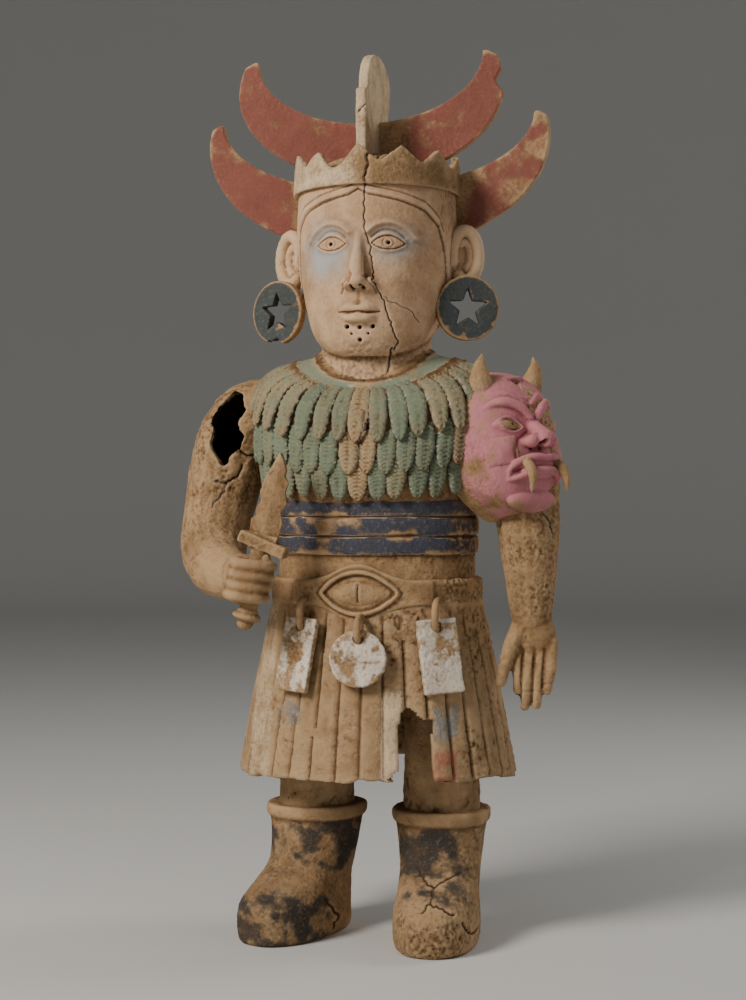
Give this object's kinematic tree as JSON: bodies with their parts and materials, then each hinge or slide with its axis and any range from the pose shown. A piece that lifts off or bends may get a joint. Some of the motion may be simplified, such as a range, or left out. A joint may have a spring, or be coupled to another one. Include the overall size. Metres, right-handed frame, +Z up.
{
  "type": "haniwa figure",
  "caption": "Standing fired-clay haniwa warrior with a crescent headdress, feather cape, eye-buckled belt with hung clay tags, pleated skirt, knife in one hand and a demon mask on the shoulder.",
  "frame": {"origin": "on the floor under the middle of the figure's bounding box", "axes": "+Z up the standing figure; the figure faces -Y; +X is the figure's left-hand side"},
  "size_m": [0.5382, 0.3289, 1.172],
  "materials": {
    "fired_clay": "rough unglazed tan clay, pitted and dirt-stained, with worn mineral paint: brick red, turquoise, indigo, pink and black",
    "whitened_clay": "rough tan clay under a flaking coat of white slip"
  },
  "bodies": {
    "root": {"figure": "fired_clay", "left_tag": "whitened_clay", "round_tag": "whitened_clay", "right_tag": "whitened_clay"}
  },
  "joints": []
}
